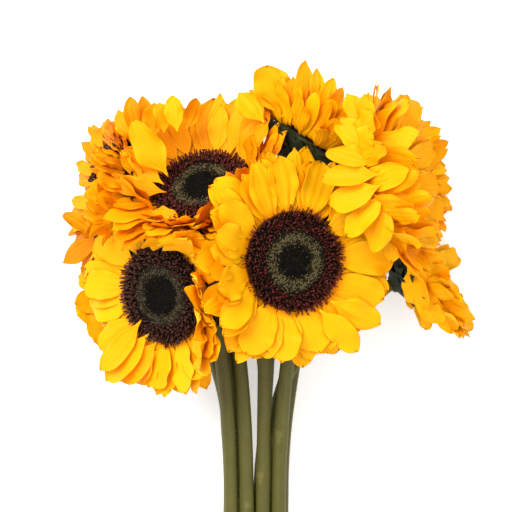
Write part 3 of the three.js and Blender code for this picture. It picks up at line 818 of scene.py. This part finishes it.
# Petals that hang loose between the heads: start, end, the way their face looks, width, and bend in degrees
LOOSE = {
    "top": [
        ((15, 86, 92), (7, 116, 90), (-0.2, 0.1, 1), 22, -30),
        ((4, 82, 90), (-10, 100, 88), (-0.3, 0.2, 1), 15, -30),
        ((29, 79, 98), (30, 119, 96), (-0.2, 0, 1), 11, -20),
        ((34, 82, 99), (38, 114, 97), (0.3, 0, 1), 10, -25),
        ((37, 79, 99), (46, 108, 97), (0, 0, 1), 11, -20),
        ((40, 77, 98), (52, 103, 95), (0.4, 0.2, 1), 12, -30),
        ((42, 73, 97), (54, 91, 93), (0.2, 0.1, 1), 9, -25),
        ((25, 79, 97), (22, 109, 95), (-0.5, 0, 1), 9, -20),
        ((32, 83, 101), (33, 103, 101), (0.5, 0, 1), 8, 30),
        ((44, 70, 98), (52, 80, 96), (0, 0, 1), 8, -30),
    ],
    "left": [
        ((-72, -42, 86), (-95, -72, 74), (-0.2, -0.2, 1), 16, -20),
        ((-62, -54, 85), (-84, -77, 74), (-0.1, -0.3, 1), 16, -25),
        ((-55, -56, 85), (-71, -79, 75), (0.2, -0.3, 1), 15, -20),
        ((-67, -49, 86), (-92, -78, 72), (-0.2, 0, 1), 16, -20),
        ((-41, -53, 86), (-30, -82, 82), (0.3, -0.2, 1), 12, -25),
    ],
    "low_right": [
        ((100, -22, 58), (106, -47, 46), (0.3, 0, 1), 9, -30),
        ((95, -20, 58), (97, -34, 50), (-0.3, 0, 1), 7, -30),
        ((92, -1, 87), (109, -15, 87), (0.3, 0, 1), 18, -30),
        ((93, -8, 88), (101, -33, 78), (-0.2, 0, 1), 16, -20),
        ((98, -18, 85), (111, -43, 73), (0.1, 0, 1), 14, -20),
        ((104, -24, 81), (123, -48, 67), (0.2, 0, 1), 12, -20),
        ((96, -12, 84), (100, -30, 76), (0, 0.1, 1), 12, -20),
        ((100, -10, 85), (117, -30, 77), (0.2, 0, 1), 14, -20),
        ((110, -29, 74), (136, -40, 62), (0.3, 0, 1), 11, -15),
    ],
    "far_left": [
        ((-102, 15, 44), (-122, 26, 40), (-0.2, 0.4, 1), 10, -25),
        ((-101, 11, 42), (-123, -5, 36), (-0.3, -0.3, 1), 12, -35),
        ((-71, 74, 78), (-77, 98, 76), (-0.2, 0, 1), 11, -20),
        ((-67, 74, 79), (-70, 98, 77), (0.3, 0, 1), 10, -25),
        ((-77, 71, 76), (-85, 90, 74), (-0.4, 0, 1), 10, -20),
    ],
    "upper_left": [
        ((-64, 72, 80), (-62, 94, 78), (0, 0, 1), 13, -20),
        ((-48, 77, 84), (-51, 98, 82), (-0.2, 0, 1), 12, -20),
        ((-42, 78, 85), (-36, 96, 84), (0.3, 0, 1), 12, -25),
        ((-56, 76, 82), (-58, 94, 80), (0.3, 0, 1), 12, -25),
        ((-55, 51, 88), (-76, 82, 94), (-0.3, -0.2, 1), 18, -20),
        ((-57, 39, 90), (-88, 46, 88), (0, -0.4, 1), 12, -15),
        ((-58, 45, 86), (-84, 63, 84), (-0.3, -0.1, 1), 14, 15),
        ((-47, 25, 96), (-34, 8, 106), (0.5, 0.4, 1), 9, 70),
        ((-36, 24, 98), (-24, 14, 106), (-0.6, 0.2, 1), 9, -60),
        ((-42, 8, 100), (-39, 25, 104), (0.8, 0, 0.6), 9, 50),
        ((-29, 8, 102), (-35, 23, 104), (-0.7, 0.2, 0.7), 8, 60),
        ((-42, 25, 100), (-40, -5, 108), (0.9, 0, 0.4), 8, 30),
        ((-63, 27, 94), (-46, 19, 101), (0.1, 0.5, 1), 9, -60),
        ((-60, 19, 96), (-43, 12, 104), (-0.2, -0.5, 1), 10, 60),
        ((-54, 28, 96), (-52, 12, 103), (-0.7, 0, 0.7), 8, 50),
    ],
    "front": [
        ((41, 14, 105), (74, 30, 97), (0.1, -0.1, 1), 17, -12),
        ((47, -28, 107), (75, -42, 97), (0.2, 0, 1), 17, -12),
        ((40, -34, 108), (62, -57, 98), (0.1, -0.1, 1), 17, -12),
        ((44, 22, 102), (64, 45, 98), (0, -0.3, 1), 16, 15),
    ],
    "right": [
        ((71, 68, 124), (53, 97, 113), (-0.3, 0.1, 1), 14, -20),
        ((68, 61, 133), (48, 81, 122), (-0.5, 0.1, 1), 15, -25),
        ((68, 54, 142), (42, 64, 129), (-0.4, 0.3, 1), 16, -30),
        ((69, 47, 145), (38, 47, 131), (-0.5, 0, 1), 14, -30),
        ((70, 40, 146), (42, 29, 131), (-0.3, -0.2, 1), 16, -30),
        ((73, 34, 144), (53, 11, 130), (-0.5, -0.2, 1), 15, -30),
        ((76, 29, 142), (66, 2, 128), (-0.2, -0.4, 1), 17, -30),
        ((82, 24, 132), (79, -4, 119), (0.1, -0.4, 1), 14, -30),
        ((84, 70, 116), (97, 93, 104), (0.2, 0.2, 1), 13, -30),
    ],
}


def loose_petals(flower):
    """The loose petals as sheets. Each grows from a head of its own, whose middle is the petal's start."""
    made = []
    for n, (start, end, up, width, bend) in enumerate(LOOSE.get(flower["name"], [])):
        own = dict(seed=flower["seed"], centre=start, faces=up)
        way = head_axes(own) @ (np.array(end, float) - start)
        length = math.hypot(*way)
        one = dict(
            key=LOOSE_KEY + n, azimuth=math.atan2(way[1], way[0]), radius=0, height=0, length=length,
            width=width, pitch=math.asin(way[2] / length) - math.radians(bend) / 3, bend=math.radians(bend),
            sway=0.05 * spread(flower["seed"], n), roll=0.2, channel=0.15, strain=0.8,
        )
        points, veins, _ = petal_sheets(own, {thing: np.array([value]) for thing, value in one.items()})
        made.append((in_bunch(own, points), veins, [one["key"]]))
    return made


def petals(flower):
    """The head's fine petals, from the rays that the solid has, and its loose ones, as one piece."""
    tries = [(turn, narrow) for narrow in NARROW for turn in RAY_TRIES]
    blades = grown(flower, rays_of(flower), "rays_" + flower["name"], RAY_MATCH_AT, tries)
    strain = np.abs(blades["turn"]) / 30 + (blades["lean"] - flower["cup"]) / 90 - 0.1
    blades["strain"] = np.clip(strain, 0, 1)
    blades["width"] = blades["width"] * (BROAD_WIDTH if flower["name"] in BROAD_HEADS else SLIM_WIDTH)
    blades = with_more(flower, trimmed(flower, blades))
    points, veins, s = petal_sheets(flower, blades)
    faces, row = sheet_faces(PETAL_ROWS, PETAL_COLUMNS)
    groups = [(in_bunch(flower, points), veins, blades["key"]), *loose_petals(flower)]
    points, uv, key = (np.concatenate(part) for part in zip(*groups))
    middle = (s[:-1] + s[1:]) / 2
    # Darker rows at the root: the petal's deeper base plus painted shade by the disc
    by_row = np.select([middle < limit for limit, _ in TONE_ROWS], [tone for _, tone in TONE_ROWS])
    spread_by = BROAD_TONE_SPREAD if flower["name"] in BROAD_HEADS else SLIM_TONE_SPREAD
    # Each petal's tone: a random spread plus its head's painted shade
    shift = np.floor(spread_by * chance(flower["seed"], key + 467) + HEAD_PAINTED_SHADE[flower["name"]])
    tones = np.maximum(np.where(key[:, None] < LOOSE_KEY, by_row[row][None], 0), shift[:, None].astype(int))
    make_piece(flower, "petals", "rays", "rays", points.reshape(-1, 3),
               tiled(faces, len(points), points.shape[1]), tones.ravel(), uv.reshape(-1, 2))


def spun(profile, sides, wobble=0.0, waves=7):
    """A profile of (radius, height) turned round z, its radius times 1 + wobble sin(waves angle)."""
    profile = np.asarray(profile, float)
    turn = TURN * np.arange(sides) / sides
    r = profile[1:-1, 0, None] * (1 + wobble * np.sin(waves * turn))
    z = profile[1:-1, 1, None] + 0 * turn
    rings = np.stack([r * np.cos(turn), r * np.sin(turn), z], axis=-1).reshape(-1, 3)
    poles = np.array([[0, 0, profile[0, 1]], [0, 0, profile[-1, 1]]])
    return np.concatenate([rings, poles]), spun_faces(len(profile) - 2, sides)[0]


def floret_points(base, axis, around, length, thick, kind):
    """Three rings, the foot and the top of each floret: base + axis h + r (x cos a + y sin a).

    An open one's last ring has lobes, so its r and h go up and down.
    """
    x = unit(np.cross(around, axis))
    y = np.cross(axis, x)
    turn = TURN * np.arange(FLORET_SIDES) / FLORET_SIDES
    rings = []
    for n in range(3):
        lobed = (kind[:, None] == 0) & (n == 2)
        wide = (thick * FLORET_WIDTHS[kind, n])[:, None] * np.where(lobed, FLORET_LOBES, 1.0)
        uneven = np.where(lobed, 0.86 + 0.16 * FLORET_LOBES, 1.0)
        high = (FLORET_HEIGHTS[kind, n] * length)[:, None] * uneven
        rings.append(base[:, None] + axis[:, None] * high[..., None]
                     + x[:, None] * (wide * np.cos(turn))[..., None]
                     + y[:, None] * (wide * np.sin(turn))[..., None])
    top = base + axis * (FLORET_HEIGHTS[kind, 3] * length)[:, None]
    return np.concatenate([*rings, base[:, None], top[:, None]], axis=1)


def floret_tones(flower, share, ring_from, is_open, is_ring):
    """The tones of each floret's tip and body. Pale specks gather in the olive ring."""
    pick = chance(flower["seed"], np.arange(len(share)) + 9000)
    pale = smooth(ring_from - 0.12, ring_from + 0.16, share)
    pale = pale * (1 - 0.75 * smooth(RIPE_FROM - 0.14, RIPE_FROM, share))
    speck = np.where(pick < 0.6 * pale, TAN, np.where(pick < 0.25 + 0.8 * pale, OLIVE, GREEN_BLACK))
    tip = np.where(is_open, np.where(pick < 0.13, WINE, np.where(pick < 0.52, MAROON, BROWN)), speck)
    if flower["name"] in COOL_DISCS:
        tip = np.where((tip == MAROON) | (tip == WINE), PLUM, np.where(tip == TAN, DUST, tip))
    return tip, np.where(is_open, TUBE, np.where(is_ring, OLIVE, GREEN_BLACK))


def disc(flower):
    """The dome and its florets in a golden-angle spiral, buds in the middle and open ones at the rim.

    Floret k stands at k golden angles round, at a share of the radius that goes with the root of k.
    A floret is a five-sided tube of three rings. Its top is a lobed cup where it is open, or a closed bud.
    """
    seed = flower["seed"]
    ring_from = RINGS.get(flower["name"], RING_FROM)
    florets = FLORETS_WHERE_HIDDEN if flower["name"] in HIDDEN_DISCS else FLORETS
    stout = math.sqrt(FLORETS / florets)
    k = np.arange(florets)
    even = (k + 0.5) / florets
    share = np.where(even < FINE_SHARE, RIPE_FROM * np.sqrt(even / FINE_SHARE),
                     np.sqrt(RIPE_FROM**2 + (1 - RIPE_FROM**2) * (even - FINE_SHARE) / (1 - FINE_SHARE)))
    angle = k * GOLDEN_ANGLE
    waves = 0.7 * np.sin(5 * angle + seed) + 0.5 * np.sin(9 * angle - 2 * seed)
    r = FLORET_FIELD * share + (0.9 * spread(seed, k + 12000) + waves) * smooth(0.75, 1, share)
    by = [spread(seed, k + 1000 * n) for n in range(1, 7)]
    is_open = share > RIPE_FROM + 0.02 + 0.03 * by[0] + 0.02 * np.sin(3 * angle + seed)
    is_ring = ~is_open & (share > ring_from + 0.05 * by[1])
    outward = flat_way(angle)
    around = np.stack([-np.sin(angle), np.cos(angle), 0 * angle], axis=1)
    base = outward * r[:, None]
    base[:, 2] = np.interp(r, DOME_RADII, DOME_HEIGHTS) - FLORET_SINK
    lean = np.where(is_open, 0.05 + 0.85 * smooth(0.7, 1, share) + 0.38 * by[2], -0.12 * share)
    axis = unit(outward * np.sin(lean)[:, None] + around * (0.38 * by[3] * is_open)[:, None]
                + np.array([0, 0, 1]) * np.cos(lean)[:, None])
    length = np.where(is_open, 3.2 + 2.0 * smooth(0.75, 1, share) + 1.3 * by[4],
                      np.where(is_ring, 2.2, 1.4 + 1.2 * share) + 0.2 * by[4])
    thick = stout * np.where(is_open, 0.39 * (1 + 0.25 * by[5]), 0.38)
    kind = np.where(is_open, 0, np.where(is_ring, 1, 2))
    points = floret_points(base, axis, around, length, thick, kind)
    faces, row = spun_faces(3, FLORET_SIDES)
    tip, body = floret_tones(flower, share, ring_from, is_open, is_ring)
    tones = np.where(row[None] >= np.where(is_open, 1, 2)[:, None], tip[:, None], body[:, None])
    profile = DOME_FOOT + [(step, np.interp(step, DOME_RADII, DOME_HEIGHTS)) for step in DOME_STEPS]
    dome, dome_faces = spun(profile, DOME_SIDES)
    make_piece(flower, "florets", "seed_disc", "disc",
               in_bunch(flower, np.concatenate([dome, points.reshape(-1, 3)])),
               np.concatenate([dome_faces, tiled(faces, florets, points.shape[1]) + len(dome)]),
               np.concatenate([np.full(len(dome_faces), GROUND), tones.ravel()]))


def bract_sheets(blades, seed, hug):
    """Points of bracts along the blades' lines, ovate with a long fine point.

    Half width is 0.62 w (0.72 + a sine belly) (1.02 - s)^0.8. Across they have a channel |t|^1.5, turned over
    where they hug the bowl, and a midrib exp(-(t / 0.16)^2).
    """
    s = np.linspace(BRACT_ROOT, 1, BRACT_ROWS)[None, :, None]
    t = np.linspace(-1, 1, BRACT_COLUMNS)[None, None, :]
    inside = np.clip(s, 0, 1)
    belly = 0.5 * np.sin(math.pi * np.minimum(1, inside * 1.5)) * (1 - inside)
    shape = (0.72 + belly) * (1.02 - inside) ** 0.8
    key, length, width, sway = (fit(blades[thing], s) for thing in ("key", "length", "width", "sway"))
    by = [spread(seed, key + more) for more in (601, 607, 613)]
    wide = width * 0.62 * np.maximum(shape, 0.03)
    lift = (wide * (0.18 + 0.1 * by[0]) * np.abs(t) ** 1.5 * (-0.6 if hug else 1)
            + wide * 0.12 * by[1] * t + 0.35 * np.exp(-((t / 0.16) ** 2)) * (1 - inside)
            + 2.4 * by[2] * inside**3)
    half = BRACT_HALF_THICKNESS * (1 - t**2) * smooth(BRACT_ROOT, 0, s) * (1 - inside**6)
    side = t * wide + sway * length * inside**2 + 0 * lift
    at = np.broadcast_to(s, lift.shape)
    return thin_sheet(blades, at, side, lift, half)


def calyx(flower):
    """The bowl, rows of short bracts that lie against it, and the long bracts that the solid has."""
    seed = flower["seed"]
    bowl, bowl_faces = spun(BOWL_PROFILE, BOWL_SIDES, wobble=0.012, waves=13)
    parts, faces, tones = [bowl], [bowl_faces], [np.full(len(bowl_faces), GREEN)]
    sheet, _ = sheet_faces(BRACT_ROWS, BRACT_COLUMNS)

    def add(blades, hug, tone):
        points = bract_sheets(blades, seed, hug)
        faces.append(tiled(sheet, len(points), points.shape[1]) + sum(len(part) for part in parts))
        parts.append(points.reshape(-1, 3))
        tones.append(np.repeat(tone, len(sheet)))

    for count, radius, height, bend, length in SHORT_BRACTS:
        i = np.arange(count)
        key = i + SHORT_BRACT_KEY * count
        short = dict(
            key=key,
            azimuth=TURN * (i + 0.3 * spread(seed, key)) / count,
            radius=np.full(count, radius + SHORT_BRACT_LIFT),
            height=np.full(count, height),
            length=length * (1 + 0.15 * spread(seed, key + 3)),
            width=np.full(count, SHORT_BRACT_WIDTH),
            pitch=np.radians(SHORT_BRACT_PITCH + 4 * spread(seed, key + 5)),
            bend=np.radians(bend + 8 * spread(seed, key + 7)),
            sway=0.08 * spread(seed, key + 9),
        )
        add(short, True, np.where(chance(seed, key + 11) < 0.5, GREEN, DARK))
    tries = [(turn, 1) for turn in BRACT_TRIES]
    grown_ones = grown(flower, bracts_of(flower), "calyx_" + flower["name"], BRACT_MATCH_AT, tries)
    grown_ones["length"] = grown_ones["length"] * BRACT_SHARES.get(flower["name"], BRACT_SHARE)
    key = grown_ones["key"]
    add(grown_ones, False, np.where(chance(seed, key + 13) < 0.3, LEAF_GREEN, np.where(key % 2, DARK, GREEN)))
    make_piece(flower, "bracts", "calyx", "calyx",
               in_bunch(flower, np.concatenate(parts)), np.concatenate(faces), np.concatenate(tones))


def carried_normals(tangents, first=(0, 0, 1)):
    """A normal for each tangent, carried along the line without twist."""
    normals = []
    normal = np.array(first, float)
    for tangent in tangents:
        normal = unit(normal - tangent * (tangent @ normal))
        normals.append(normal)
    return np.array(normals)


def stem_skin(flower, normals, sides, rings):
    """Points of the skin, its radii and its tones.

    The radius tapers and flares into the calyx. It swells by cosines round and along the stem, and by a bell
    exp(-(distance / width)^2) at each scar.
    """
    seed = flower["seed"]
    radius = flower["row"][1]
    u = np.linspace(0, 1, STEM_RINGS)[:, None]
    a = (TURN * np.arange(STEM_SIDES) / STEM_SIDES)[None, :]
    swell = 0.02 * np.cos(5 * a + 3 * u) + 0.012 * np.cos(9 * a - 5 * u) + 0.015 * np.sin(23 * u + seed)
    scar = np.zeros_like(swell)
    for n in range(STEM_KNOTS):
        place = 0.16 + 0.13 * n + 0.05 * spread(seed, 700 + n)
        turn = TURN * chance(seed, 710 + n)
        near = np.exp(-(((u - place) / 0.007) ** 2)) * np.exp((np.cos(a - turn) - 1) * 5)
        swell = swell + 0.22 * near + 0.05 * np.exp(-(((u - place) / 0.016) ** 2))
        scar = np.maximum(scar, near)
    flare = smooth(0.955, 1, u) * (STEM_NECK_RADIUS - radius)
    wide = (radius * (1 - STEM_TAPER * u) + flare) * (1 + swell)
    skin = (rings[:, None] + normals[:, None] * (wide * np.cos(a))[..., None]
            + sides[:, None] * (wide * np.sin(a))[..., None])
    light = np.cos(3 * a + 4 * u + seed) + 0.3 * np.cos(40 * u + 2 * a) > 1.02
    return skin, wide, np.where(scar > 0.6, SCAR, np.where(light, LIGHT, SKIN))


def stem_hairs(seed, rings, tangents, normals, sides, wide):
    """Three-sided spikes that stand off the skin, as four points each."""
    k = np.arange(STEM_HAIRS)
    at = (2 + (STEM_RINGS - 8) * chance(seed, k + 20000)).astype(int)
    turn = TURN * chance(seed, k + 30000)
    out = normals[at] * np.cos(turn)[:, None] + sides[at] * np.sin(turn)[:, None]
    foot = rings[at] + out * (wide[at, 0] * 0.97)[:, None]
    way = unit(out + tangents[at] * (0.5 * spread(seed, k + 40000))[:, None])
    across = np.cross(way, tangents[at]) * HAIR_RADIUS
    along = tangents[at] * HAIR_RADIUS
    tip = foot + way * (0.9 + 0.7 * chance(seed, k + 50000))[:, None]
    return np.stack([foot + along, foot - along / 2 + across, foot - along / 2 - across, tip], axis=1)


def stem(flower, line):
    """A tube along the settled line with ridges, swollen knots with scars, and fine hairs.

    It flares into the calyx, and its cut end is a flat ring of skin round white pith.
    """
    rings = smooth_line(line, STEM_RINGS)
    ends = np.concatenate([[2 * rings[0] - rings[1]], rings, [2 * rings[-1] - rings[-2]]])
    tangents = unit(ends[2:] - ends[:-2])
    tangents[-1] = unit(flower["faces"])
    normals = carried_normals(tangents)
    sides = np.cross(tangents, normals)
    skin, wide, skin_tones = stem_skin(flower, normals, sides, rings)
    pith = rings[0] + PITH_SHARE * (skin[:1] - rings[0]) - tangents[0] * 0.15
    rim = rings[0] + RIM_SHARE * (skin[:1] - rings[0]) - tangents[0] * 0.25
    body = np.concatenate([pith, rim, skin])
    points = np.concatenate([body.reshape(-1, 3), [rings[0] + tangents[0] * 0.5], [rings[-1]]])
    faces, row = spun_faces(len(body), STEM_SIDES)
    by_quad = np.concatenate([np.full(2 * STEM_SIDES, SKIN), skin_tones[:-1].ravel()])
    tones = np.full(len(faces), SKIN)
    tones[: 2 * len(by_quad)] = np.tile(by_quad, 2)
    tones[row == 0] = PITH
    hairs = stem_hairs(flower["seed"], rings, tangents, normals, sides, wide)
    hair_faces = tiled(HAIR_FACES, STEM_HAIRS, hairs.shape[1]) + len(points)
    make_piece(flower, "stalk", "stem", "stem",
               np.concatenate([points, hairs.reshape(-1, 3)]), np.concatenate([faces, hair_faces]),
               np.concatenate([tones, np.full(len(hair_faces), HAIR)]))


def set_stage():
    """A pale floor, soft light from above and from all round, and the camera straight above."""
    scene = bpy.context.scene
    bpy.ops.mesh.primitive_plane_add(size=FLOOR_SIZE, location=(0, 0, -FLOOR_DROP))
    floor = bpy.context.object
    floor.name = "floor"
    paper = material("floor_paper", "#fdfdfc", "#fbfbfa", 0.9, ("Object", 20, (1, 1, 1)), 0, 0, 0.1)
    # A little light from the floor itself, as from a lit table, keeps the shadow on it faint
    glow = paper.node_tree.nodes["Principled BSDF"].inputs
    glow["Emission Color"].default_value = (1, 1, 1, 1)
    glow["Emission Strength"].default_value = FLOOR_GLOW
    floor.data.materials.append(paper)
    world = bpy.data.worlds.new("soft_room")
    world.use_nodes = True
    world.node_tree.nodes["Background"].inputs["Color"].default_value = (1, 1, 1, 1)
    world.node_tree.nodes["Background"].inputs["Strength"].default_value = ROOM_LIGHT
    scene.world = world
    for name, place, size, power in LIGHTS:
        light = bpy.data.lights.new(name, "AREA")
        light.size = size
        light.energy = power
        lamp = bpy.data.objects.new(name, light)
        lamp.location = place
        x, y, z = LIT_PLACE - place
        lamp.rotation_euler = (math.atan2(math.hypot(x, y), -z), 0, math.atan2(y, x) - math.pi / 2)
        scene.collection.objects.link(lamp)
    lens = bpy.data.cameras.new("camera")
    lens.lens = CAMERA_LENS
    lens.sensor_width = CAMERA_SENSOR
    camera = bpy.data.objects.new("camera", lens)
    camera.location = (OFFSET + CAMERA_OVER) * MM
    scene.collection.objects.link(camera)
    scene.camera = camera
    scene.view_settings.view_transform = "Standard"


set_stage()
for flower, line in zip(FLOWERS, settled_stems()):
    stem(flower, line)
    petals(flower)
    disc(flower)
    calyx(flower)
